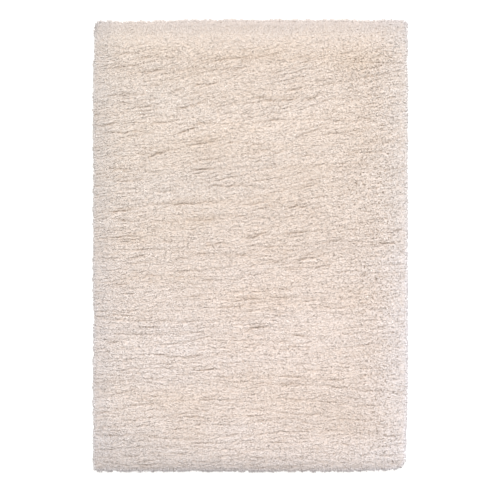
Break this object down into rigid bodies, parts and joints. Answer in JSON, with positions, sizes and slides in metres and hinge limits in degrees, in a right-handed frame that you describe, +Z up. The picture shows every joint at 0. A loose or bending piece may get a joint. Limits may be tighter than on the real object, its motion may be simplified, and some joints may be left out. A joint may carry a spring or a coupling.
{
  "type": "shag rug",
  "caption": "Rectangular cream shag rug with deep soft pile and softly rounded corners, lying flat on the floor.",
  "frame": {"origin": "middle of the underside, on the floor", "axes": "+X across the rug, +Y along its length, +Z up out of the pile"},
  "size_m": [1.6, 2.3, 0.04],
  "materials": {
    "pile": "matt cut-pile yarn, soft sheen"
  },
  "bodies": {
    "root": {"shag_rug": "pile"}
  },
  "joints": []
}
